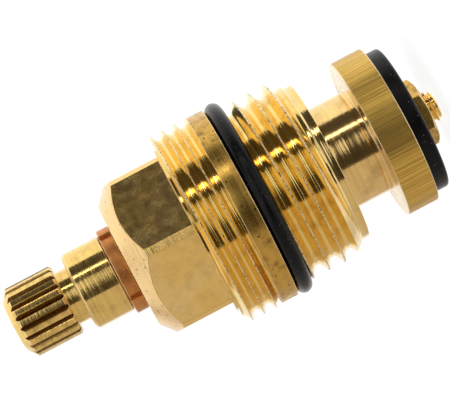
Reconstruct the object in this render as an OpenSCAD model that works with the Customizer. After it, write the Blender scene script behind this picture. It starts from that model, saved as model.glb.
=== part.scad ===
// Tap headwork with a turning spindle and a sliding plunger, shown closed.
// Z runs along the axis towards the handle. Z = 0 is the underside of the flange,
// the face that seats on the tap body. All sizes are in millimetres.

/* [Wrench hexagon] */
// Width across the flats
hex_af = 18.2; // [17:0.1:20]
// Diameter over its turned corners
hex_corner_d = 20.5; // [20.3:0.1:21.2]
// Length of the hexagon along the axis
hex_len = 8.4; // [7.5:0.1:10]
// Diameter of the flat face at the front
hex_front_d = 15; // [13.5:0.1:16]
// Drop of the front cone for each millimetre of radius
hex_cone_slope = 0.86; // [0.4:0.01:1]
// Turn of the hexagon about the axis, in degrees
hex_turn = -27.8; // [-30:0.1:30]

/* [Upper thread, flange and lower thread] */
// Outside diameter of the upper thread, which holds the trim
trim_thread_d = 23.85; // [22.5:0.05:25]
// Pitch of the upper thread
trim_pitch = 1.5; // [1.3:0.05:1.6]
// Length of the upper thread
trim_thread_len = 4.6; // [4.2:0.1:6]
// Diameter of the plain neck between the upper thread and the hexagon
relief_d = 20.4; // [19.6:0.1:21.2]
// Length of that neck
relief_len = 0.3; // [0.2:0.05:0.8]
// Step from the crests of the upper thread down to the flange
flange_step = 0.175; // [0.05:0.025:0.5]
// Thickness of the flange
flange_t = 2.1; // [1.5:0.1:3]
// Outside diameter of the lower thread, which goes into the tap body
body_thread_d = 22; // [21.2:0.1:22.8]
// Pitch of the lower thread
body_pitch = 2; // [1.8:0.05:2.1]
// Length of the lower thread, from the ring groove to the end of the bonnet
body_thread_len = 8.05; // [7.6:0.05:10]
// Diameter of the plain land at the end of the lower thread
end_land_d = 19.3; // [19:0.1:19.8]
// Length of that land
end_land_len = 0.9; // [0.5:0.1:1.2]

/* [Ring under the flange] */
// Thickness of the rubber ring
body_ring_t = 2; // [1.7:0.05:2.3]
// How far the ring stands proud of the flange
ring_proud = 0.25; // [0.1:0.05:0.4]
// Side play of the ring in its groove
ring_side_play = 0.1; // [0.05:0.05:0.4]

/* [Spindle outside the bonnet] */
// Diameter over the crests of the grooved drive end
drive_d = 8.45; // [8:0.05:9]
// Length of the drive end
drive_len = 6.6; // [5.5:0.1:8]
// Number of grooves in the drive end
drive_grooves = 20; // [18:1:22]
// Direction of one of the crests between them, in degrees
drive_turn = -91; // [-99:1:-82]
// Width of a groove at the crest
groove_w = 0.66; // [0.5:0.02:0.76]
// Depth of a groove
groove_depth = 0.5; // [0.35:0.01:0.6]
// Length of the cone at the front of the drive end
drive_cone_len = 0.9; // [0.5:0.05:1.3]
// Diameter of its end face
drive_face_d = 6.1; // [5.6:0.1:6.6]
// Length of the neck behind the drive end
neck_len = 1.5; // [1:0.1:2.5]
// Diameter of the neck
neck_d = 6.4; // [6:0.1:7]
// Length of the barrel between the clip groove and the neck
barrel_len = 4.7; // [3.5:0.1:6]
// Diameter of the barrel
barrel_d = 9.3; // [8.9:0.05:9.6]
// Edge chamfer of barrel and drive end
edge_chamfer = 0.3; // [0.15:0.05:0.5]
// Diameter of the hole for the handle screw
screw_hole_d = 3.3; // [2.5:0.1:3.6]
// Depth of that hole
screw_hole_len = 10; // [8:0.5:13]

/* [Retaining clip] */
// Thickness of the clip
clip_t = 1.5; // [1.2:0.05:1.8]
// Outside diameter of the clip
clip_d = 10.3; // [10:0.05:11.2]
// Diameter of the groove that the clip's three prongs grip
clip_groove_d = 7.2; // [6.8:0.1:7.6]
// Depth of the step at each end of the clip's back
clip_back_step = 0.42; // [0.3:0.02:0.5]
// Half the angle that the back takes, in degrees
clip_back_half = 52; // [40:1:60]
// Direction of the back, in degrees
clip_back_dir = -81; // [-90:1:-70]
// Half the angle of the clip's open mouth, in degrees
clip_mouth_half = 34; // [28:1:40]
// Depth of the two pockets between the prongs
clip_pocket = 0.45; // [0.3:0.05:0.5]

/* [Inside the bonnet] */
// Length of the bearing bore, from the hexagon's front face to the shoulder
bore_len = 8.2; // [7.8:0.1:9]
// Thickness of a ring on the spindle
spindle_ring_t = 1.5; // [1.3:0.05:1.6]
// Squeeze of those rings, from both sides together
spindle_ring_squeeze = 0.24; // [0.15:0.01:0.3]
// Bottom of the upper ring groove, below the front face
upper_groove_drop = 3.6; // [3.4:0.1:3.9]
// Distance between the two ring grooves
groove_spacing = 2.9; // [2.6:0.1:3.2]
// Thickness of the thrust washer
thrust_washer_t = 0.6; // [0.4:0.05:1]
// Thickness of the spindle's collar
collar_t = 2.05; // [1.5:0.05:2.5]
// Diameter of the lead screw
lead_screw_d = 8; // [7.4:0.1:8.4]
// Length of the lead screw
lead_screw_len = 15.5; // [13:0.1:17]
// Lead of the screw, for one turn
lead = 2; // [1.5:0.1:2.2]
// Turns of the spindle from closed to open
turns = 2; // [1.5:0.25:2.25]

/* [Plunger] */
// Diameter of the shank
shank_d = 12.4; // [11.8:0.1:12.8]
// Step from the shank out to the guide's flats
guide_step = 0.8; // [0.5:0.05:1]
// Length of the hexagon guide
guide_len = 8; // [6:0.1:8.5]
// Gap between bonnet and disc when the tap is open
disc_gap = 1.05; // [0.5:0.05:2]
// Diameter of the disc
disc_d = 19.2; // [18.6:0.1:20]
// Thickness of the disc
disc_t = 3.8; // [3.3:0.1:4.5]
// Depth of the recess that holds the rubber washer
recess_depth = 1.15; // [0.8:0.05:1.3]
// Thickness of the rubber washer
seat_washer_t = 3; // [2.6:0.1:3.5]
// Wall of the disc round the rubber washer
disc_wall = 0.8; // [0.6:0.05:1.1]
// Diameter of the stud
stud_d = 3.9; // [3.5:0.1:4.2]
// Length of the stud past the nut
stud_end_len = 1.4; // [0.8:0.05:2]
// Width across the flats of the nut
nut_af = 7; // [6.5:0.1:8]
// Thickness of the nut
nut_t = 2.3; // [1.8:0.1:3.2]
// How far the nut sinks into the rubber washer
nut_sink = 0.65; // [0.3:0.05:0.9]
// Turn of the nut about the axis, in degrees
nut_turn = -3; // [-30:1:30]

/* [Clearances] */
// Running clearance on each side of a turning or sliding fit
running_gap = 0.04; // [0.02:0.01:0.08]
// Clearance on each side of a part that is slipped on
slip_gap = 0.05; // [0.02:0.01:0.1]
// End play of the spindle
end_play = 0.05; // [0.03:0.01:0.15]
// Clearance between the screw's crests and the bore of the plunger
screw_gap = 0.06; // [0.04:0.01:0.15]
// Clearance round the collar
collar_gap = 1.1; // [0.8:0.05:1.5]
// Space that stays at the ends of the plunger's stroke
stroke_space = 0.8; // [0.5:0.05:1.2]

/* [Hidden] */
$fn = 96;

brass = [0.79, 0.64, 0.29];
bronze = [0.60, 0.35, 0.21];
rubber = [0.11, 0.11, 0.12];
cut_over = 1;

// Heights of the bonnet, from its end up to the front face of the hexagon
z_trim_top = flange_t + trim_thread_len;
z_hex_low = z_trim_top + relief_len;
z_front = z_hex_low + hex_len;
z_groove_low = -body_ring_t - ring_side_play;
z_bonnet_end = z_groove_low - body_thread_len;
z_land_top = z_bonnet_end + end_land_len;
z_shoulder = z_front - bore_len;

// Heights of the spindle
travel = turns * lead;
z_collar_top = z_shoulder - thrust_washer_t - end_play;
z_collar_low = z_collar_top - collar_t;
z_screw_end = z_collar_low - lead_screw_len;
z_clip_low = z_front + 2 * end_play;
z_clip_top = z_clip_low + clip_t;
z_barrel_low = z_clip_top + 2 * end_play;
z_barrel_top = z_barrel_low + barrel_len;
z_drive_low = z_barrel_top + neck_len;
z_drive_top = z_drive_low + drive_len;

// Heights of the plunger in the closed position
z_plunger_top = z_collar_low - stroke_space - travel;
z_guide_low = z_plunger_top - guide_len;
z_disc_top = z_bonnet_end - disc_gap - travel;
z_disc_low = z_disc_top - disc_t;
z_blind_end = z_screw_end - stroke_space - travel;
z_washer_top = z_disc_low + recess_depth;
z_washer_low = z_washer_top - seat_washer_t;
z_nut_top = z_washer_low + nut_sink;
z_nut_low = z_nut_top - nut_t;
z_stud_end = z_nut_low - stud_end_len;

// Diameters of the flange and of the ring groove below it
flange_d = trim_thread_d - 2 * flange_step;
body_groove_d = flange_d + 2 * ring_proud - 2 * body_ring_t;

// Fits worked out from one size and a clearance
bore_d = barrel_d + 2 * running_gap;
guide_af = shank_d + 2 * guide_step;
guide_bore_af = guide_af + 2 * slip_gap;
collar_d = guide_af - 2 * collar_gap;
nut_bore_d = lead_screw_d + 2 * screw_gap;
seat_washer_d = disc_d - 2 * disc_wall - 2 * slip_gap;
ring_radial = spindle_ring_t - spindle_ring_squeeze;
ring_groove_d = barrel_d - 2 * ring_radial;
ring_groove_w = spindle_ring_t + 2 * slip_gap;
z_upper_groove = z_front - upper_groove_drop;
z_lower_groove = z_upper_groove - groove_spacing;

// Radius of a hexagon's corner from its width across the flats
function corner_r(af) = af / 2 / cos(30);

// Depth of an outside thread with flanks at 60 degrees
function thread_depth(pitch) = 0.6134 * pitch;

// Half section of a threaded length, as rings: flat crests and round roots.
// The first crest lies the distance first below the upper end.
function thread_points(d, pitch, z_high, z_low, first) =
    let (
        crest_r = d / 2,
        root_r = crest_r - thread_depth(pitch),
        root_arc = 0.1443 * pitch,
        crest_half = pitch / 16,
        count = floor((z_high - first - z_low) / pitch) + 1,
        outline = [
            for (i = [0 : count])
                let (z_crest = z_high - first - i * pitch)
                each concat(
                    [for (a = [60 : -30 : -60])
                        [root_r + root_arc * (1 - cos(a)), z_crest + pitch / 2 + root_arc * sin(a)]],
                    [[crest_r, z_crest + crest_half], [crest_r, z_crest - crest_half]]
                )
        ]
    )
    concat(
        [[0, z_high], [root_r, z_high]],
        [for (p = outline) if (p[1] < z_high && p[1] > z_low) p],
        [[root_r, z_low], [0, z_low]]
    );

module grooved_cylinder(d, pitch, z_high, z_low, first) {
    rotate_extrude() polygon(thread_points(d, pitch, z_high, z_low, first));
}

module disc_between(d, z_low, z_high) {
    translate([0, 0, z_low]) cylinder(d = d, h = z_high - z_low);
}

module hexagon_between(af, z_low, z_high, turn) {
    translate([0, 0, z_low]) rotate(turn) cylinder(r = corner_r(af), h = z_high - z_low, $fn = 6);
}

// Round ring whose section is a circle with flats where it is squeezed
module squeezed_ring(inner_d, thick, radial, z_mid) {
    translate([0, 0, z_mid]) rotate_extrude() translate([inner_d / 2 + radial / 2, 0])
        intersection() {
            circle(d = thick);
            square([radial, thick], center = true);
        }
}

// Hexagon with its corners turned round, and a cone turned on its front end
module wrench_hexagon() {
    turned_r = hex_corner_d / 2;
    cone_drop = (turned_r - hex_front_d / 2) * hex_cone_slope;
    intersection() {
        hexagon_between(hex_af, z_hex_low, z_front, hex_turn);
        rotate_extrude() polygon([
            [0, z_hex_low - cut_over],
            [turned_r, z_hex_low - cut_over],
            [turned_r, z_front - cone_drop],
            [hex_front_d / 2, z_front],
            [0, z_front]
        ]);
    }
}

// Lower thread with the lead cone that ends in a plain land
module body_thread() {
    cone_len = body_thread_d / 2 - end_land_d / 2;
    intersection() {
        grooved_cylinder(body_thread_d, body_pitch, z_groove_low, z_bonnet_end - cut_over, body_pitch / 4);
        union() {
            disc_between(end_land_d, z_bonnet_end, z_land_top);
            translate([0, 0, z_land_top])
                cylinder(d1 = end_land_d, d2 = body_thread_d, h = cone_len);
            disc_between(body_thread_d, z_land_top + cone_len, z_groove_low);
        }
    }
    disc_between(end_land_d, z_bonnet_end, z_land_top);
}

// Bearing bore, chamber behind the shoulder and hexagon bore for the plunger
module bonnet_inside() {
    disc_between(bore_d, z_shoulder - cut_over, z_front + cut_over);
    disc_between(guide_bore_af, z_bonnet_end - cut_over, z_shoulder);
    hexagon_between(guide_bore_af, z_bonnet_end - cut_over, z_collar_low, 0);
}

module bonnet() {
    color(brass) difference() {
        union() {
            wrench_hexagon();
            disc_between(relief_d, z_trim_top, z_hex_low);
            grooved_cylinder(trim_thread_d, trim_pitch, z_trim_top, flange_t, trim_pitch / 3);
            disc_between(flange_d, 0, flange_t);
            disc_between(body_groove_d, z_groove_low, 0);
            body_thread();
        }
        bonnet_inside();
    }
}

module body_seal_ring() {
    color(rubber) squeezed_ring(
        body_groove_d, body_ring_t, body_ring_t, z_groove_low / 2
    );
}

module thrust_washer() {
    color(bronze) difference() {
        disc_between(guide_bore_af - 2 * slip_gap, z_shoulder - thrust_washer_t, z_shoulder);
        disc_between(bore_d + 2 * slip_gap, z_shoulder - 2 * thrust_washer_t, z_shoulder + cut_over);
    }
}

// One straight groove with a sharp bottom, cut along the drive end
module drive_groove() {
    r = drive_d / 2;
    half_out = groove_w / 2 * (groove_depth + cut_over) / groove_depth;
    translate([0, 0, z_drive_low - cut_over / 2])
        linear_extrude(drive_len + cut_over)
            polygon([[r - groove_depth, 0], [r + cut_over, half_out], [r + cut_over, -half_out]]);
}

// Turned outline of the spindle, from the end of the lead screw to the end of the drive
module turned_spindle() {
    rotate_extrude() polygon([
        [0, z_screw_end],
        [lead_screw_d / 2 - 2 * edge_chamfer, z_screw_end],
        [lead_screw_d / 2, z_screw_end + 2 * edge_chamfer],
        [lead_screw_d / 2, z_collar_low],
        [collar_d / 2, z_collar_low],
        [collar_d / 2, z_collar_top],
        [barrel_d / 2, z_collar_top],
        [barrel_d / 2, z_barrel_top - edge_chamfer],
        [barrel_d / 2 - edge_chamfer, z_barrel_top],
        [neck_d / 2, z_barrel_top],
        [neck_d / 2, z_drive_low],
        [drive_d / 2 - edge_chamfer, z_drive_low],
        [drive_d / 2, z_drive_low + edge_chamfer],
        [drive_d / 2, z_drive_top - drive_cone_len],
        [drive_face_d / 2, z_drive_top],
        [0, z_drive_top]
    ]);
}

// Ring cut into the spindle from the outside
module ring_cut(root_d, z_low, z_high) {
    difference() {
        disc_between(barrel_d + cut_over, z_low, z_high);
        disc_between(root_d, z_low - cut_over, z_high + cut_over);
    }
}

module spindle() {
    color(brass) difference() {
        turned_spindle();
        ring_cut(clip_groove_d, z_front, z_barrel_low);
        for (z = [z_upper_groove, z_lower_groove])
            ring_cut(ring_groove_d, z, z + ring_groove_w);
        for (i = [0 : drive_grooves - 1])
            rotate(drive_turn + (i + 0.5) * 360 / drive_grooves) drive_groove();
        disc_between(screw_hole_d, z_drive_top - screw_hole_len, z_drive_top + cut_over);
    }
}

// Slice of a plane between two directions
module sector(r, half_angle) {
    polygon([
        [0, 0],
        [r * cos(half_angle), -r * sin(half_angle)],
        [r, -r * tan(half_angle / 2)],
        [r, r * tan(half_angle / 2)],
        [r * cos(half_angle), r * sin(half_angle)]
    ]);
}

// Clip with a stepped back, three prongs and a mouth on the far side
module retaining_clip() {
    inner_r = clip_groove_d / 2 + slip_gap;
    pocket_half = 28;
    pocket_dir = 84;
    color(bronze) translate([0, 0, z_clip_low]) rotate(clip_back_dir) linear_extrude(clip_t)
        difference() {
            circle(d = clip_d);
            difference() {
                sector(clip_d, clip_back_half);
                circle(d = clip_d - 2 * clip_back_step);
            }
            circle(r = inner_r);
            rotate(180) sector(clip_d, clip_mouth_half);
            for (side = [-1, 1])
                rotate(side * pocket_dir) intersection() {
                    circle(r = inner_r + clip_pocket);
                    sector(clip_d, pocket_half);
                }
        }
}

module spindle_seal_ring(z_groove) {
    color(rubber) squeezed_ring(
        ring_groove_d, spindle_ring_t, ring_radial, z_groove + ring_groove_w / 2
    );
}

module spindle_seal_ring_upper() {
    spindle_seal_ring(z_upper_groove);
}

module spindle_seal_ring_lower() {
    spindle_seal_ring(z_lower_groove);
}

// Guide with flats, its corners turned round
module plunger_guide() {
    intersection() {
        hexagon_between(guide_af, z_guide_low, z_plunger_top, 0);
        disc_between(2 * corner_r(guide_af) - guide_step / 2, z_guide_low, z_plunger_top);
    }
}

module plunger() {
    color(brass) difference() {
        union() {
            plunger_guide();
            disc_between(shank_d, z_disc_top, z_guide_low);
            disc_between(disc_d, z_disc_low, z_disc_top);
            disc_between(stud_d, z_stud_end, z_disc_low);
        }
        disc_between(nut_bore_d, z_blind_end, z_plunger_top + cut_over);
        difference() {
            disc_between(disc_d - 2 * disc_wall, z_disc_low - cut_over, z_washer_top);
            disc_between(stud_d, z_stud_end, z_washer_top + cut_over);
        }
    }
}

// Flat washer with its outer lower edge rounded and a seat for the nut
module seat_washer() {
    r = seat_washer_d / 2;
    edge_r = 0.4;
    color(rubber) difference() {
        rotate_extrude() {
            translate([0, z_washer_low]) square([r - edge_r, seat_washer_t]);
            translate([r - edge_r, z_washer_low + edge_r]) square([edge_r, seat_washer_t - edge_r]);
            translate([r - edge_r, z_washer_low + edge_r]) circle(r = edge_r);
        }
        disc_between(stud_d + 2 * slip_gap, z_washer_low - cut_over, z_washer_top + cut_over);
        disc_between(2 * corner_r(nut_af) + 2 * slip_gap, z_washer_low - cut_over, z_nut_top);
    }
}

// Small nut whose outer face has turned corners
module washer_nut() {
    face_r = nut_af / 2 - 0.1;
    color(brass) difference() {
        intersection() {
            hexagon_between(nut_af, z_nut_low, z_nut_top, nut_turn);
            translate([0, 0, z_nut_low]) cylinder(r1 = face_r, r2 = face_r + 2 * nut_t, h = nut_t);
        }
        disc_between(stud_d + 2 * slip_gap, z_nut_low - cut_over, z_nut_top + cut_over);
    }
}

bonnet();
body_seal_ring();
thrust_washer();
spindle();
retaining_clip();
spindle_seal_ring_upper();
spindle_seal_ring_lower();
plunger();
seat_washer();
washer_nut();
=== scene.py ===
"""Looks of a tap headwork: a turned brass bonnet, a grooved spindle held by a bronze clip, and a plunger
with a rubber washer on its end.

Lengths are in millimetres and MM turns them into the scene's metres. Z runs along the axis towards the
handle. Angles are in degrees round that axis, from +X towards +Y. The camera looks along +Y, so it faces
angle -90.
"""

import logging
import math
from collections.abc import Callable, Iterator, Sequence
from dataclasses import dataclass
from enum import Enum, IntEnum

import bmesh
import bpy
import numpy as np
from mathutils import Matrix, Vector


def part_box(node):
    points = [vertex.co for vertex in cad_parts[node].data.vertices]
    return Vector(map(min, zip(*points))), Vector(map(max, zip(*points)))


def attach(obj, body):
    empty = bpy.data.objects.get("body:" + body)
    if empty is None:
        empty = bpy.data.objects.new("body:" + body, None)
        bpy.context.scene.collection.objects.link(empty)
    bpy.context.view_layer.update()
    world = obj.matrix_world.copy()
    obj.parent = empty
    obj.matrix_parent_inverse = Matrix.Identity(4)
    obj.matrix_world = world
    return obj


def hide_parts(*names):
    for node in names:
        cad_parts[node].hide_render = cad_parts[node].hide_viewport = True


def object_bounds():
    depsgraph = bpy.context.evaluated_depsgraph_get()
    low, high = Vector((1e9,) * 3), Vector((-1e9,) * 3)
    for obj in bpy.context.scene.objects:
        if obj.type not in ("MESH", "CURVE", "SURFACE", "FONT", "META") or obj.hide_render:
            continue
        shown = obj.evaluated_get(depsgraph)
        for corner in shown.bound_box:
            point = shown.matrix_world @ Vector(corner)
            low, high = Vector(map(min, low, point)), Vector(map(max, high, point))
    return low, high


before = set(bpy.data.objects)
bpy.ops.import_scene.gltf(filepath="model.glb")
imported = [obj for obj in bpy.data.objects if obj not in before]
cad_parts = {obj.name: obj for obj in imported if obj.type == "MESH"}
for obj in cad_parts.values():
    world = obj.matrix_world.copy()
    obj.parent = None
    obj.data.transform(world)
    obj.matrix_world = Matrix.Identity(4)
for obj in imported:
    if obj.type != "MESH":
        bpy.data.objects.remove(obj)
CAD_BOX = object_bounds()

MM = 0.001
LOG = logging.getLogger("tap_headwork")

Colour = tuple[float, float, float]
Socket = bpy.types.NodeSocket
Value = Socket | bpy.types.Node | float | Sequence[float] | None
Inputs = dict[str | int, Value]
Measure = float | np.ndarray
Limit = Callable[[np.ndarray], np.ndarray]

BRASS: Colour = (0.91, 0.63, 0.20)
THREAD_BRASS: Colour = (0.92, 0.65, 0.205)
SATIN_BRASS: Colour = (0.93, 0.645, 0.255)
FLAT_BRASS: Colour = (0.92, 0.62, 0.20)
# Paler, pinker brass of the front cone: painted sheen of the bright grazing light on it
SHEEN_PINK_BRASS: Colour = (0.95, 0.66, 0.31)
PALE_BRASS: Colour = (0.97, 0.83, 0.55)
DULL_BRASS: Colour = (0.66, 0.40, 0.085)
STAINED_BRASS: Colour = (0.22, 0.125, 0.04)
DIRT: Colour = (0.085, 0.045, 0.015)
# Dark brown of dirt and painted shade in the bottoms of the drive grooves
GROOVE_DIRT_AND_SHADE: Colour = (0.26, 0.14, 0.042)
BRONZE: Colour = (0.66, 0.28, 0.085)
DARK_BRONZE: Colour = (0.17, 0.07, 0.03)
PALE_BRONZE: Colour = (0.95, 0.60, 0.30)
RUBBER: Colour = (0.003, 0.003, 0.0035)
BLOOM: Colour = (0.009, 0.009, 0.010)
DUST: Colour = (0.16, 0.15, 0.13)


class Body(Enum):
    """The three bodies that move against each other."""

    BONNET = "bonnet_body"
    SPINDLE = "spindle_body"
    PLUNGER = "plunger_body"


class Slot(Enum):
    """Material slots of the record."""

    BRASS = "brass"
    BRONZE = "bronze"
    RUBBER = "rubber"


def heights_of(node: str) -> tuple[float, float]:
    """Finds the ends of a CAD node along the axis.

    Args:
        node: Name of the node.

    Returns:
        Its lowest and its highest point, in millimetres.
    """
    low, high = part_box(node)
    return low.z / MM, high.z / MM


def radius_of(node: str) -> float:
    """Finds how far a CAD node reaches from the axis.

    Args:
        node: Name of the node.

    Returns:
        Its largest distance from the axis, in millimetres.
    """
    low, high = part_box(node)
    return max(-low.x, -low.y, high.x, high.y) / MM


def add_object(name: str, data: bpy.types.ID) -> bpy.types.Object:
    """Adds an object to the scene.

    Args:
        name: Its name.
        data: Its mesh, lamp or camera.

    Returns:
        The object.
    """
    thing = bpy.data.objects.new(name, data)
    bpy.context.scene.collection.objects.link(thing)
    return thing


# Outlines and meshes

# Closer columns beside a sharp edge and beside a round corner, in degrees from it
EDGE_COLUMNS = (-0.12, 0.0, 0.12)
CORNER_COLUMNS = (-1.2, -0.6, 0.6, 1.2)


def even_angles(count: int) -> np.ndarray:
    """Spaces columns evenly round the axis.

    Args:
        count: Number of columns.

    Returns:
        Their angles from -180 to 180, both included.
    """
    return np.linspace(-180.0, 180.0, count + 1)


def angles_with(angles: np.ndarray, centres: Sequence[float], offsets: Sequence[float]) -> np.ndarray:
    """Adds columns near some directions.

    Args:
        angles: Angles of the columns so far.
        centres: The directions.
        offsets: How far the new columns lie from each direction.

    Returns:
        All the angles in order.
    """
    added = [(c + o + 180.0) % 360.0 - 180.0 for c in centres for o in offsets]
    return np.unique(np.round(np.concatenate([angles, added]), 4))


def hexagon_corners(turn: float = 0.0) -> list[float]:
    """Works out the directions of a hexagon's corners.

    Args:
        turn: Direction of one of them.

    Returns:
        All six directions.
    """
    return [turn + 60.0 * i for i in range(6)]


def hexagon_radius(angles: np.ndarray, across_flats: float, turn: float, rounding: float) -> np.ndarray:
    """Distance of a hexagon's outline from the axis, with round corners.

    Args:
        angles: Angles of the columns.
        across_flats: Width across the flats.
        turn: Direction of one of the corners.
        rounding: Radius of the corners.

    Returns:
        The radius for each angle.
    """
    to_corner = np.radians(np.abs((angles - turn + 30.0) % 60.0 - 30.0))
    to_flat = math.radians(30.0) - to_corner
    flat = across_flats / 2 / np.cos(to_flat)
    centre = (across_flats / 2 - rounding) / math.cos(math.radians(30.0))
    inside = np.maximum(rounding**2 - (centre * np.sin(to_corner)) ** 2, 0.0)
    corner = centre * np.cos(to_corner) + np.sqrt(inside)
    on_corner = centre * np.sin(to_corner) <= rounding * 0.5
    return np.where(on_corner, corner, flat)


@dataclass(frozen=True)
class Thread:
    """A right-hand thread with narrow crests and wide round roots.

    crest_height is where a crest lies at angle 0. An inside thread has its crests at the smallest radius.
    A stride of 2 leaves out every other row, for a thread that is hardly seen. Ragged is how far it is torn.
    """

    crest_radius: float
    pitch: float
    crest_height: float
    high: float
    low: float
    inside: bool = False
    ragged: float = 0.0
    stride: int = 1

    CHAMFER_WEAR = 0.5
    CREST_DEPTH = 0.08
    CREST = 1 / 32
    ROOT_START = 0.3095
    ROOT_ARC = 0.22
    DEPTH = 0.592
    WAVES = 8
    WAVE_RATE, WAVE_OFFSET, WAVE_SHARE = 11.3, 5.1, 0.35
    NICK_RATES, NICK_OFFSET, NICK_LIMIT, NICK_SHARE = (7.3, 17.9), 1.7, 0.86, 14.0
    HALF_TURN = (0.0, 0.018, 0.0312, 0.05, 0.10, 0.17, 0.24, 0.3095, 0.335, 0.365, 0.40, 0.43, 0.465)
    PHASES = (*HALF_TURN, 0.5, *(1.0 - phase for phase in HALF_TURN[:0:-1]))

    def depth(self, phase: np.ndarray) -> np.ndarray:
        """Depth of the groove below the crests.

        Args:
            phase: Distance from the nearest crest, in pitches, from 0 to 0.5.

        Returns:
            The depth for each value.
        """
        flank = (phase - self.CREST) * self.pitch * math.sqrt(3)
        arc = self.ROOT_ARC * self.pitch
        along = np.clip((0.5 - phase) * self.pitch / arc, 0.0, 1.0)
        root = self.DEPTH * self.pitch - arc * (1 - np.sqrt(1 - along**2))
        return np.where(phase < self.CREST, 0.0, np.where(phase < self.ROOT_START, flank, root))

    def tear(self, along: np.ndarray) -> np.ndarray:
        """How much a crest is torn down by the cutting tool.

        Args:
            along: Angle along the helix, counted on over the turns.

        Returns:
            The loss of radius for each angle.
        """
        turn = np.radians(along)
        waves = sum(
            math.sin(k) * np.sin((self.WAVE_RATE * k + self.WAVE_OFFSET) * turn + k * k)
            for k in range(1, self.WAVES + 1)
        )
        beat = np.sin(self.NICK_RATES[0] * turn + self.NICK_OFFSET) * np.sin(self.NICK_RATES[1] * turn)
        nicks = np.maximum(beat - self.NICK_LIMIT, 0.0) * self.NICK_SHARE
        return self.ragged * (np.abs(waves) * self.WAVE_SHARE + nicks)

    def rows(
        self, angles: np.ndarray, limit: Limit | None = None
    ) -> Iterator[tuple[np.ndarray, np.ndarray, np.ndarray]]:
        """Gives the rows of points, which follow the helix from the upper end to the lower one.

        Args:
            angles: Angles of the columns.
            limit: Largest radius at a height, such as that of an end cone.

        Yields:
            Radius, height and wear of a row.
        """
        rise = self.pitch * angles / 360.0
        first = math.floor((self.crest_height - self.pitch / 2 - self.high) / self.pitch)
        last = math.ceil((self.crest_height + self.pitch / 2 - self.low) / self.pitch)
        for turn in range(first, last + 1):
            for phase in self.PHASES[:: self.stride]:
                height = self.crest_height + rise - (turn + phase) * self.pitch
                height = np.clip(height, self.low, self.high)
                off = (self.crest_height + rise - height) / self.pitch
                near = np.abs(off - np.round(off))
                depth = self.depth(near)
                crest = np.clip(1 - depth / (self.CREST_DEPTH * self.pitch), 0.0, 1.0)
                depth = depth + crest * self.tear(angles - 360.0 * np.round(off))
                radius = self.crest_radius + depth if self.inside else self.crest_radius - depth
                if limit is not None:
                    edge = limit(height)
                    crest = np.where(radius > edge, self.CHAMFER_WEAR, crest)
                    radius = np.minimum(radius, edge)
                yield radius, height, crest


@dataclass
class Corner:
    """One point of an outline over all columns, and the zone of the stretch that leads to it."""

    radius: np.ndarray
    height: np.ndarray
    zone: int
    rounding: float
    worn: np.ndarray


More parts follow.
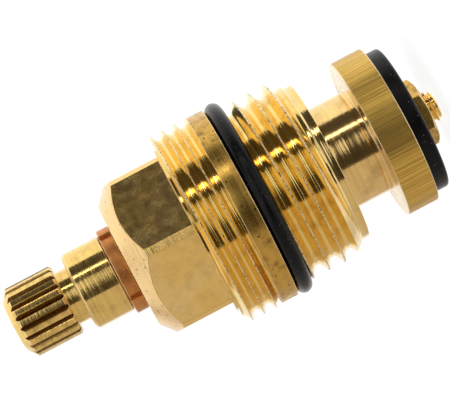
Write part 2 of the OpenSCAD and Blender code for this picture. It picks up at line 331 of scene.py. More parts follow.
class Outline:
    """Outline of a piece that stands round the axis, given corner by corner.

    A corner's radius, height and wear are numbers, or arrays with one value for each column.
    """

    ROUND_STEPS = (0.0, 0.25, 0.5, 0.75, 1.0)
    LONGEST_ROUNDING = 0.45
    SHORTEST_SIDE = 1e-9
    SAME_ANGLE = 1e-6
    SAME_PLACE = 1e-7
    SHARP = math.radians(25)

    def __init__(self, angles: np.ndarray) -> None:
        """Starts an empty outline. The last column of a whole ring is 360 degrees past its first."""
        self.angles = angles
        self.corners: list[Corner] = []

    def to(
        self, radius: Measure, height: Measure, zone: int = 0, rounding: float = 0.0, worn: Measure = 0.0
    ) -> None:
        """Adds a corner.

        Args:
            radius: Distance from the axis.
            height: Height along the axis.
            zone: Number of the finish on the stretch that leads to this corner.
            rounding: How far the rounding of this corner reaches along both its sides.
            worn: How worn the surface is here, from 0 to 1.
        """
        radius, height, worn = (
            np.broadcast_to(np.asarray(value, float), self.angles.shape) for value in (radius, height, worn)
        )
        self.corners.append(Corner(radius, height, zone, rounding, worn))

    def run(self, zone: int, *corners: tuple[Measure, ...]) -> None:
        """Adds corners of one zone, each as radius, height and, where it has one, rounding."""
        for radius, height, *rounding in corners:
            self.to(radius, height, zone, *rounding)

    def cut(self, zone: int, thread: Thread, limit: Limit | None = None, wear: float = 1.0) -> None:
        """Adds a thread's rows, kept within the limit, with the share of their wear that shows."""
        for radius, height, worn in thread.rows(self.angles, limit):
            self.to(radius, height, zone, worn=worn * wear)

    def _rows(self) -> tuple[np.ndarray, np.ndarray, np.ndarray, list[int]]:
        """Works out the outline's points, with round corners as short curves.

        Returns:
            Radii, heights and wear, with a row for a point and a value for a column, and the zones.
        """
        rows = []
        for i, corner in enumerate(self.corners):
            if not corner.rounding:
                rows.append((corner.radius, corner.height, corner.worn, corner.zone))
                continue
            before, after = self.corners[i - 1], self.corners[(i + 1) % len(self.corners)]
            middle = np.stack([corner.radius, corner.height])
            start = self._on_side(middle, before, corner.rounding)
            end = self._on_side(middle, after, corner.rounding)
            for t in self.ROUND_STEPS:
                radius, height = (1 - t) ** 2 * start + 2 * t * (1 - t) * middle + t**2 * end
                worn = {0.0: corner.worn, 1.0: after.worn}.get(t, np.ones_like(radius))
                rows.append((radius, height, worn, corner.zone if t <= 0.5 else after.zone))
        radii, heights, wear, zones = zip(*rows)
        return np.stack(radii), np.stack(heights), np.stack(wear), list(zones)

    def _on_side(self, middle: np.ndarray, other: Corner, reach: float) -> np.ndarray:
        """Finds where the rounding of a corner starts on one of its sides.

        Args:
            middle: Radius and height of the corner.
            other: The corner at the other end of the side.
            reach: Wanted distance from the corner.

        Returns:
            Radius and height of the point, for each column.
        """
        side = np.stack([other.radius, other.height]) - middle
        length = np.maximum(np.hypot(*side), self.SHORTEST_SIDE)
        return middle + side / length * np.minimum(reach, self.LONGEST_ROUNDING * length)

    def mesh(self, name: str, closed_line: bool = True) -> bpy.types.Mesh:
        """Makes the mesh of a piece that goes round the axis, whole or in part.

        Args:
            name: Name of the mesh.
            closed_line: Whether the outline's last corner joins its first one.

        Returns:
            The mesh, with a point attribute named worn.
        """
        radii, heights, wear, zones = self._rows()
        turn = np.radians(self.angles)
        points = np.stack([radii * np.cos(turn), radii * np.sin(turn), heights], axis=-1) * MM
        rows, columns = radii.shape
        index = np.arange(rows * columns).reshape(rows, columns)
        if closed_line:
            index = np.vstack([index, index[:1]])
            zones = [*zones[1:], zones[0]]
        else:
            zones = zones[1:]
        quads = np.stack([index[:-1, :-1], index[1:, :-1], index[1:, 1:], index[:-1, 1:]], axis=-1)
        finish = np.repeat(np.array(zones, np.int32), columns - 1)
        mesh = bpy.data.meshes.new(name)
        mesh.from_pydata(points.reshape(-1, 3).tolist(), [], quads.reshape(-1, 4).tolist())
        mesh.polygons.foreach_set("material_index", finish)
        layer = mesh.attributes.new("worn", "FLOAT", "POINT")
        layer.data.foreach_set("value", wear.astype(np.float32).ravel())
        whole = abs(self.angles[-1] - self.angles[0] - 360) < self.SAME_ANGLE
        self._close(mesh, [] if whole else [index[:-1, 0], index[:-1, -1]])
        return mesh

    def _close(self, mesh: bpy.types.Mesh, ends: Sequence[np.ndarray]) -> None:
        """Caps open ends, sews what lies in one place, and turns all faces outward.

        Args:
            mesh: The mesh to finish.
            ends: Rows of point numbers that each bound an open end.
        """
        work = bmesh.new()
        work.from_mesh(mesh)
        work.verts.ensure_lookup_table()
        for end in ends:
            work.faces.new([work.verts[i] for i in end])
        bmesh.ops.remove_doubles(work, verts=work.verts, dist=self.SAME_PLACE)
        bmesh.ops.dissolve_degenerate(work, edges=work.edges, dist=self.SAME_PLACE)
        loose = [vert for vert in work.verts if not vert.link_faces]
        bmesh.ops.delete(work, geom=loose, context="VERTS")
        bmesh.ops.recalc_face_normals(work, faces=work.faces)
        work.to_mesh(mesh)
        work.free()
        mesh.shade_smooth()
        mesh.set_sharp_from_angle(angle=self.SHARP)


# Finishes


class Nodes:
    """A node tree, and one way to add nodes to it."""

    def __init__(self, tree: bpy.types.NodeTree) -> None:
        """Takes the tree."""
        self.tree = tree

    @classmethod
    def emptied(cls, owner: bpy.types.World | bpy.types.Material) -> "Nodes":
        """Empties the node tree of a new world or material.

        Args:
            owner: The world or material.

        Returns:
            Its nodes.
        """
        owner.use_nodes = True
        owner.node_tree.nodes.clear()
        return cls(owner.node_tree)

    def feed(self, node: bpy.types.Node, inputs: Inputs) -> None:
        """Joins inputs of a node, or gives them fixed values.

        Args:
            node: The node.
            inputs: Their values by name or number. A node stands for its first output, None for no change.
        """
        for name, value in inputs.items():
            socket = node.inputs[name]
            if isinstance(value, bpy.types.Node):
                value = value.outputs[0]
            if isinstance(value, Socket):
                self.tree.links.new(value, socket)
            elif value is not None:
                socket.default_value = (*value, 1.0) if socket.type == "RGBA" else value

    def add(self, kind: str, inputs: Inputs | None = None, **settings: str) -> bpy.types.Node:
        """Adds a node.

        Args:
            kind: Its type, without the words ShaderNode.
            inputs: What its inputs get.
            settings: Its properties.

        Returns:
            The node.
        """
        node = self.tree.nodes.new(f"ShaderNode{kind}")
        for name, setting in settings.items():
            setattr(node, name, setting)
        self.feed(node, inputs or {})
        return node

    def calc(self, action: str, first: Value, second: Value) -> Socket:
        """Result of a math node."""
        return self.add("Math", {0: first, 1: second}, operation=action).outputs[0]

    def times(self, first: Value, second: Value) -> Socket:
        """Product of two values."""
        return self.calc("MULTIPLY", first, second)

    def plus(self, first: Value, second: Value) -> Socket:
        """Sum of two values."""
        return self.calc("ADD", first, second)

    def seen(self) -> Socket:
        """Tells a ray of the camera, or one off metal or through glass.

        Returns:
            1 for such a ray, and 0 for any other.
        """
        path = self.add("LightPath")
        total = path.outputs["Is Camera Ray"]
        for name in ("Is Glossy Ray", "Is Transmission Ray"):
            total = self.calc("MAXIMUM", total, path.outputs[name])
        return total


class Painter(Nodes):
    """Nodes of one piece's material. Its coordinates are the frame's, in millimetres."""

    RING_DRIFT = (0.025, 0.04, 0)
    ROUND_THE_AXIS, ALONG_THE_AXIS = 0.25, 0.0

    def __init__(self, name: str, metallic: float) -> None:
        """Starts a material.

        Args:
            name: Name of the material.
            metallic: How metallic it is, from 0 to 1.
        """
        self.material = bpy.data.materials.new(name)
        self.material.use_nodes = True
        super().__init__(self.material.node_tree)
        self.shader = next(n for n in self.tree.nodes if n.type == "BSDF_PRINCIPLED")
        self.feed(self.shader, {"Metallic": metallic})
        place = self.add("TexCoord").outputs["Object"]
        self.place = self.vector("MULTIPLY", place, (1 / MM,) * 3)

    def vector(self, action: str, first: Value, second: Value = None, result: str = "Vector") -> Socket:
        """Result of a vector node."""
        return self.add("VectorMath", {0: first, 1: second}, operation=action).outputs[result]

    def radius(self) -> Socket:
        """Distance from the axis."""
        return self.vector("LENGTH", self.stretched(1, 1, 0), result="Value")

    def height(self) -> Socket:
        """Height along the axis."""
        return self.add("SeparateXYZ", {0: self.place}).outputs["Z"]

    def stretched(self, x: float, y: float, z: float) -> Socket:
        """Place with each direction scaled by its own factor."""
        return self.vector("MULTIPLY", self.place, (x, y, z))

    def rings(self, per_mm: float) -> Socket:
        """Place for marks that run round the axis, on walls, cones and end faces alike."""
        x, z = (self.times(way, per_mm) for way in (self.radius(), self.height()))
        return self.vector("ADD", self.add("CombineXYZ", {0: x, 2: z}), self.stretched(*self.RING_DRIFT))

    def lines(self, per_turn: float, along: float) -> Socket:
        """Gives places for marks that run along the axis.

        Args:
            per_turn: How many fit round the axis, as a scale.
            along: Scale along the axis.

        Returns:
            The place.
        """
        outward = self.vector("NORMALIZE", self.stretched(1, 1, 0))
        spread = self.vector("MULTIPLY", outward, (per_turn, per_turn, 0))
        return self.vector("ADD", spread, self.stretched(0, 0, along))

    def noise(self, place: Socket, scale: float, detail: float, rough: float) -> Socket:
        """Noise around 0.5, with a number of finer layers and the share that they have."""
        inputs = {"Vector": place, "Scale": scale, "Detail": detail, "Roughness": rough}
        return self.add("TexNoise", inputs).outputs[0]

    def cells(self, place: Socket, scale: float) -> Socket:
        """Distance from scattered points, for specks and pits."""
        return self.add("TexVoronoi", {"Vector": place, "Scale": scale}).outputs["Distance"]

    def worn(self) -> Socket:
        """The mesh's own wear, from 0 to 1."""
        return self.add("Attribute", attribute_name="worn").outputs["Fac"]

    def span(self, value: Socket, low: float, high: float, to_low: float = 0, to_high: float = 1) -> Socket:
        """Maps the values from low to high onto those from to_low to to_high, and stops at the ends."""
        inputs = {"Value": value, "From Min": low, "From Max": high, "To Min": to_low, "To Max": to_high}
        return self.add("MapRange", inputs).outputs["Result"]

    def blend(self, share: Value, first: Value, second: Value) -> Socket:
        """Mixes two colours by the share of the second one."""
        return self.add("Mix", {0: share, 6: first, 7: second}, data_type="RGBA").outputs[2]

    def layers(self, colour: Value, *layers: tuple[Value, Colour]) -> Socket:
        """Lays colours over a first one.

        Args:
            colour: The first one.
            layers: The share and the colour of each layer.

        Returns:
            The mixed colour.
        """
        for share, layer in layers:
            colour = self.blend(share, colour, layer)
        return colour

    def relief(self, height: Socket, depth: float, below: Socket | None = None) -> Socket:
        """Normal of a relief that is this deep in millimetres and may lie on a coarser one."""
        inputs = {"Strength": 1.0, "Distance": depth * MM, "Height": height, "Normal": below}
        return self.add("Bump", inputs).outputs["Normal"]

    def brush(self, amount: float, turn: float = ROUND_THE_AXIS) -> None:
        """Stretches the gloss, by an amount from 0 to 1, across tool marks that run this way."""
        tangent = self.add("Tangent", direction_type="RADIAL", axis="Z")
        self.feed(self.shader, {"Tangent": tangent, "Anisotropic": amount, "Anisotropic Rotation": turn})

    def finish(self, colour: Socket, roughness: Socket, normal: Socket) -> bpy.types.Material:
        """Joins the results to the shader and gives the finished material."""
        self.feed(self.shader, {"Base Color": colour, "Roughness": roughness, "Normal": normal})
        return self.material


@dataclass(frozen=True)
class Finish:
    """Finish of a surface. Each kind paints its own material from a few values."""

    name: str

    def material(self) -> bpy.types.Material:
        """Makes the material."""
        raise NotImplementedError


@dataclass(frozen=True)
class TurnedBrass(Finish):
    """Brass as it comes off the lathe: fine rings, some stains, and pale worn edges."""

    colour: Colour = BRASS
    roughness: float = 0.11
    brush: float = 0.6
    ring_depth: float = 0.045
    rings_per_mm: float = 3.5
    stain: float = 0.3
    stain_size: float = 2.0
    edge: float = 0.8
    pits: float = 0.0

    def material(self) -> bpy.types.Material:
        """Makes the material.

        Returns:
            The material.
        """
        paint = Painter(self.name, 1.0)
        paint.brush(self.brush)
        rings = paint.noise(paint.rings(self.rings_per_mm), 1.0, 1.0, 0.5)
        spots = paint.times(paint.span(paint.cells(paint.place, 1.1), 0.22, 0.10), self.pits)
        broad = paint.noise(paint.place, 1 / self.stain_size, 5.0, 0.62)
        grain = paint.noise(paint.place, 9.0, 3.0, 0.6)
        stained = paint.span(broad, 0.50, 0.72, 0.0, self.stain)
        patches = paint.span(grain, 0.35, 0.6, self.edge * 0.4, self.edge)
        edge = paint.times(paint.worn(), patches)
        dark = paint.span(rings, 0.35, 0.65, 0.0, 0.14)
        stains = ((dark, STAINED_BRASS), (stained, STAINED_BRASS), (spots, DIRT))
        colour = paint.layers(self.colour, *stains, (edge, PALE_BRASS))
        rough = paint.span(rings, 0.3, 0.7, self.roughness * 0.8, self.roughness * 1.3)
        rough = paint.plus(rough, paint.times(stained, 0.2))
        rough = paint.plus(rough, paint.times(edge, 0.15))
        normal = paint.relief(rings, self.ring_depth)
        return paint.finish(colour, rough, paint.relief(grain, 0.002, normal))


@dataclass(frozen=True)
class GroovedBrass(Finish):
    """Brass with turned crests between grooves that get darker towards their bottoms, with dirt and painted
    shade.
    """

    crest: float
    roughness: float = 0.22

    def material(self) -> bpy.types.Material:
        """Makes the material.

        Returns:
            The material.
        """
        paint = Painter(self.name, 1.0)
        paint.brush(0.7)
        grain = paint.noise(paint.stretched(5.0, 5.0, 2.5), 1.0, 4.0, 0.65)
        rings = paint.noise(paint.rings(4.0), 1.0, 1.0, 0.5)
        # Painted shade and dirt: the grooves get darker and rougher towards their bottoms
        deep = paint.span(paint.radius(), self.crest - 0.02, self.crest - 0.12)
        dirt_and_shade = paint.times(deep, paint.span(grain, 0.3, 0.6, 0.75, 0.98))
        cloud = paint.noise(paint.place, 1.2, 4.0, 0.6)
        clouded, edge = paint.span(cloud, 0.4, 0.65, 0.0, 0.45), paint.times(paint.worn(), 0.8)
        colour = paint.layers(BRASS, (clouded, STAINED_BRASS), (dirt_and_shade, GROOVE_DIRT_AND_SHADE), (edge, PALE_BRASS))
        rough = paint.plus(paint.times(dirt_and_shade, 0.25), self.roughness)
        normal = paint.relief(rings, 0.03)
        return paint.finish(colour, rough, paint.relief(grain, 0.003, normal))


@dataclass(frozen=True)
class ThreadedBrass(Finish):
    """Brass with a cut thread: smooth roots, and crests that the tool has torn a little."""

    colour: Colour = THREAD_BRASS
    roughness: float = 0.12

    def material(self) -> bpy.types.Material:
        """Makes the material.

        Returns:
            The material.
        """
        paint = Painter(self.name, 1.0)
        paint.brush(0.9)
        grain = paint.noise(paint.stretched(1, 1, 1.6), 7.0, 4.0, 0.7)
        specks = paint.noise(paint.place, 5.0, 3.0, 0.7)
        broad = paint.noise(paint.place, 0.5, 4.0, 0.6)
        crest = paint.times(paint.worn(), paint.span(grain, 0.38, 0.52, 0.35, 1.0))
        bare = paint.span(paint.worn(), 0.5, 1.0)
        torn = paint.times(bare, paint.span(specks, 0.52, 0.60))
        stained = paint.span(broad, 0.5, 0.72, 0.0, 0.35)
        colour = paint.layers(self.colour, (stained, STAINED_BRASS), (crest, PALE_BRASS), (torn, DIRT))
        rough = paint.span(broad, 0.35, 0.7, self.roughness, self.roughness * 1.4)
        rough = paint.plus(rough, paint.times(paint.worn(), 0.2))
        relief = paint.times(grain, paint.span(paint.worn(), 0.3, 1.0, 0.06, 1.0))
        return paint.finish(colour, rough, paint.relief(relief, 0.03))


@dataclass(frozen=True)
class MilledBrass(Finish):
    """Flats of a hexagon bar, mottled, with turned corners where the mesh says worn."""

    colour: Colour = FLAT_BRASS
    roughness: float = 0.21

    def material(self) -> bpy.types.Material:
        """Makes the material.

        Returns:
            The material.
        """
        paint = Painter(self.name, 1.0)
        mottle = paint.noise(paint.place, 0.8, 7.0, 0.65)
        cloud = paint.noise(paint.place, 0.28, 3.0, 0.5)
        scratch = paint.noise(paint.stretched(5, 5, 0.6), 1.0, 3.0, 0.6)
        rings = paint.noise(paint.rings(2.6), 1.0, 5.0, 0.7)
        turned = paint.worn()
        flat = paint.calc("SUBTRACT", 1.0, turned)
        stained = paint.times(paint.span(mottle, 0.42, 0.68, 0.0, 0.2), flat)
        clouded = paint.times(paint.span(cloud, 0.45, 0.7, 0.0, 0.2), flat)
        colour = paint.layers(self.colour, (stained, STAINED_BRASS), (clouded, PALE_BRASS))
        rough = paint.span(mottle, 0.28, 0.72, self.roughness * 0.6, self.roughness * 1.5)
        rough = paint.calc("SUBTRACT", rough, paint.times(turned, 0.06))
        normal = paint.relief(paint.times(rings, turned), 0.14)
        normal = paint.relief(mottle, 0.008, normal)
        return paint.finish(colour, rough, paint.relief(scratch, 0.005, normal))


@dataclass(frozen=True)
class DrawnBrass(Finish):
    """Rim with fine lines along the axis, as the bar was drawn."""

    colour: Colour = (0.86, 0.55, 0.12)
    roughness: float = 0.33
    lines_per_turn: float = 95.0
    line_depth: float = 0.016

    def material(self) -> bpy.types.Material:
        """Makes the material.

        Returns:
            The material.
        """
        paint = Painter(self.name, 1.0)
        paint.brush(0.6, paint.ALONG_THE_AXIS)
        fine = paint.noise(paint.lines(self.lines_per_turn, 0.07), 1.0, 3.0, 0.7)
        wide = paint.noise(paint.lines(self.lines_per_turn / 7, 0.08), 1.0, 3.0, 0.6)
        dark, edge = paint.span(fine, 0.42, 0.60, 0.0, 0.6), paint.times(paint.worn(), 0.9)
        bands = paint.span(wide, 0.45, 0.7, 0.0, 0.18)
        stains = ((dark, STAINED_BRASS), (bands, STAINED_BRASS))
        colour = paint.layers(self.colour, *stains, (edge, PALE_BRASS))
        rough = paint.span(fine, 0.3, 0.7, self.roughness * 0.85, self.roughness * 1.2)
        return paint.finish(colour, rough, paint.relief(fine, self.line_depth))


@dataclass(frozen=True)
class BronzeStrip(Finish):
    """Bronze clip, tarnished to a copper brown, with file marks."""

    colour: Colour = BRONZE
    roughness: float = 0.42

    def material(self) -> bpy.types.Material:
        """Makes the material.

        Returns:
            The material.
        """
        paint = Painter(self.name, 1.0)
        marks = paint.noise(paint.stretched(2.0, 2.0, 9.0), 1.0, 4.0, 0.65)
        cloud = paint.noise(paint.place, 0.7, 4.0, 0.6)
        clouded, edge = paint.span(cloud, 0.45, 0.65, 0.0, 0.3), paint.times(paint.worn(), 0.8)
        colour = paint.layers(self.colour, (clouded, DARK_BRONZE), (edge, PALE_BRONZE))
        rough = paint.span(marks, 0.3, 0.7, self.roughness * 0.75, self.roughness * 1.3)
        return paint.finish(colour, rough, paint.relief(marks, 0.007))


@dataclass(frozen=True)
class MouldedRubber(Finish):
    """Black rubber with dull bloom, grain and specks of dust."""

    colour: Colour = RUBBER
    roughness: float = 0.22
    gloss: float = 0.15
    dust: float = 0.5

    def material(self) -> bpy.types.Material:
        """Makes the material.

        Returns:
            The material.
        """
        paint = Painter(self.name, 0.0)
        paint.feed(paint.shader, {"Specular IOR Level": self.gloss})
        cloud = paint.noise(paint.place, 0.5, 4.0, 0.6)
        grain = paint.noise(paint.place, 6.0, 5.0, 0.7)
        specks = paint.cells(paint.place, 1.7)
        spotted = paint.times(paint.span(specks, 0.14, 0.07), self.dust)
        bloom, edge = paint.span(cloud, 0.35, 0.75, 0.0, 0.7), paint.times(paint.worn(), 0.15)
        colour = paint.layers(self.colour, (bloom, BLOOM), (edge, DUST), (spotted, DUST))
        rough = paint.span(grain, 0.3, 0.7, self.roughness * 0.85, self.roughness * 1.2)
        return paint.finish(colour, rough, paint.relief(grain, 0.015))


# Pieces

# Stretches of each piece's surface that have a finish of their own, in the finishes' order
BonnetZone = IntEnum("BonnetZone", "CONE FLATS THREAD FLANGE PLAIN", start=0)
SpindleZone = IntEnum("SpindleZone", "DRIVE TURNED HOLE FACE", start=0)
PlungerZone = IntEnum("PlungerZone", "GUIDE SHANK RIM STUD", start=0)


@dataclass
class SubAssembly:
    """Pieces that move together on one body."""

    body: Body

    def show(self, mesh: bpy.types.Mesh, node: str, slot: Slot, *finishes: Finish) -> None:
        """Puts a piece in the scene in place of its CAD node.

        Args:
            mesh: Its mesh, which gives it its name.
            node: The CAD node that it stands for.
            slot: Material slot of the piece. It is not used.
            finishes: Finishes in the order of the outline's zones.
        """
        piece = add_object(mesh.name, mesh)
        for finish in finishes:
            mesh.materials.append(finish.material())
        shade = piece.modifiers.new("even_shading", "WEIGHTED_NORMAL")
        shade.keep_sharp = True
        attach(piece, self.body.value)
        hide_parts(node)
        LOG.info("%s: %d faces, on %s", piece.name, len(mesh.polygons), self.body.value)

    def dress(self, node: str, material: bpy.types.Material) -> None:
        """Gives a hidden CAD node that stays as it is a finish.

        Args:
            node: Name of the node.
            material: Its material.
        """
        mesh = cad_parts[node].data
        mesh.materials.clear()
        mesh.materials.append(material)
        LOG.info("%s: shown as it is, on %s", node, self.body.value)


@dataclass
class BonnetAssembly(SubAssembly):
    """The brass bonnet with its sealing ring, and the slip washer inside it."""

    body: Body = Body.BONNET
    hex_width: float = 18.2
    hex_length: float = 8.4
    hex_turn: float = -27.8
    hex_rounding: float = 0.1
    corner_radius: float = 10.25
    front_radius: float = 7.5
    cone_slope: float = 0.86
    relief_radius: float = 10.2
    trim_thread: Thread = Thread(11.925, 1.5, crest_height=6.6, high=6.7, low=2.1, ragged=0.035)
    trim_chamfer: float = 0.22
    trim_chamfer_slope: float = 1.2
    flange_radius: float = 11.75
    groove_low: float = -2.1
    thread_radius: float = 11.0
    thread_pitch: float = 2.0
    thread_crest: float = -3.42
    thread_ragged: float = 0.05
    land_length: float = 0.9
    land_radius: float = 9.65
    guide_width: float = 14.1
    guide_rounding: float = 0.3
    bore_radius: float = 4.69
    collar_room_low: float = 4.5
    columns: int = 288
    ring_thickness: float = 2.0
    ring_columns: int = 160
    ring_sides: int = 32
    flash: float = 0.02

    TURNED_AWAY = 0.004

    def build(self) -> None:
        """Makes the bonnet and its ring, and dresses the slip washer."""
        cone = {"roughness": 0.26, "brush": 0.3, "ring_depth": 0.01, "stain": 0.1, "pits": 0.5}
        flange = {"roughness": 0.24, "brush": 0.0, "ring_depth": 0.004, "stain": 0.85, "stain_size": 1.3}
        finishes = (
            # The front cone's paler pink colour is painted sheen
            TurnedBrass("brass_front_cone", SHEEN_PINK_BRASS, **cone),
            MilledBrass("brass_hexagon_flats"),
            ThreadedBrass("brass_cut_thread"),
            TurnedBrass("brass_flange", DULL_BRASS, **flange, pits=0.8),
            TurnedBrass("brass_bonnet_turned"),
        )
        self.show(self.bonnet_mesh(), "bonnet", Slot.BRASS, *finishes)
        rubber = MouldedRubber("rubber_ring")
        self.show(self.ring_mesh(), "body_seal_ring", Slot.RUBBER, rubber)
        self.dress("thrust_washer", BronzeStrip("bronze_slip_washer").material())

    def bonnet_mesh(self) -> bpy.types.Mesh:
        """Makes the bonnet.

        Returns:
            A closed mesh: hexagon, threads, flange and ring groove outside, and the stepped bore inside.
        """
        end, front = heights_of("bonnet")
        shoulder = heights_of("thrust_washer")[1]
        groove_radius = radius_of("body_seal_ring") - self.ring_thickness
        reach = 30.0 - math.degrees(math.acos(self.hex_width / 2 / self.corner_radius))
        sides = [c + side * reach for c in hexagon_corners(self.hex_turn) for side in (-1, 1)]
        angles = angles_with(even_angles(self.columns), sides, EDGE_COLUMNS)
        angles = angles_with(angles, hexagon_corners(), CORNER_COLUMNS)
        hexagon = hexagon_radius(angles, self.hex_width, self.hex_turn, self.hex_rounding)
        turned = (hexagon > self.corner_radius - self.TURNED_AWAY).astype(float)
        hexagon = np.minimum(hexagon, self.corner_radius)
        guide = hexagon_radius(angles, self.guide_width, 0.0, self.guide_rounding)
        hex_low = front - self.hex_length
        body_thread = self._body_thread()
        plain = BonnetZone.PLAIN
        line = Outline(angles)
        line.to(self.bore_radius, front, plain, 0.18)
        line.to(self.front_radius, front, BonnetZone.CONE, 0.10)
        line.to(hexagon, front - (hexagon - self.front_radius) * self.cone_slope, BonnetZone.CONE, 0.07)
        line.to(hexagon, hex_low, BonnetZone.FLATS, 0.10, turned)
        line.run(plain, (self.relief_radius, hex_low, 0.05), (self.relief_radius, self.trim_thread.high))
        line.cut(BonnetZone.THREAD, self.trim_thread, self._trim_chamfer)
        line.to(self.flange_radius, self.trim_thread.low, BonnetZone.FLANGE, 0.10)
        line.to(self.flange_radius, 0.0, BonnetZone.FLANGE, 0.12)
        line.run(plain, (groove_radius, 0.0, 0.1), (groove_radius, body_thread.high, 0.1))
        line.cut(BonnetZone.THREAD, body_thread, self._end_cone)
        line.run(
            plain,
            (self.land_radius, body_thread.low),
            (self.land_radius, end, 0.12),
            (guide, end, 0.25),
            (guide, self.collar_room_low),
            (self.guide_width / 2, self.collar_room_low),
            (self.guide_width / 2, shoulder),
            (self.bore_radius, shoulder),
        )
        return line.mesh("bonnet_turned")

    def _trim_chamfer(self, height: np.ndarray) -> np.ndarray:
        """Largest radius of the upper thread beside its chamfered end."""
        end_radius = self.trim_thread.crest_radius - self.trim_chamfer
        return end_radius + (self.trim_thread.high - height) * self.trim_chamfer_slope

    def _body_thread(self) -> Thread:
        """Gives the lower thread, which goes into the tap body and ends at the land.

        Returns:
            The thread.
        """
        size = (self.thread_radius, self.thread_pitch, self.thread_crest)
        low = heights_of("bonnet")[0] + self.land_length
        return Thread(*size, high=self.groove_low, low=low, ragged=self.thread_ragged)

    def _end_cone(self, height: np.ndarray) -> np.ndarray:
        """Largest radius of the lower thread beside its end cone."""
        return self.land_radius + (height - self._body_thread().low)

    def ring_mesh(self) -> bpy.types.Mesh:
        """Makes the rubber ring under the flange.

        Returns:
            A ring with a round section and a faint mould line.
        """
        low, high = heights_of("body_seal_ring")
        thick = (high - low) / 2
        centre = radius_of("body_seal_ring") - thick
        line = Outline(even_angles(self.ring_columns))
        for step in range(self.ring_sides):
            turn = math.radians(step * 360 / self.ring_sides)
            reach = thick - self.flash + (0.0 if step % (self.ring_sides // 2) else self.flash)
            line.to(centre + reach * math.cos(turn), (low + high) / 2 + reach * math.sin(turn))
        return line.mesh("flange_ring")


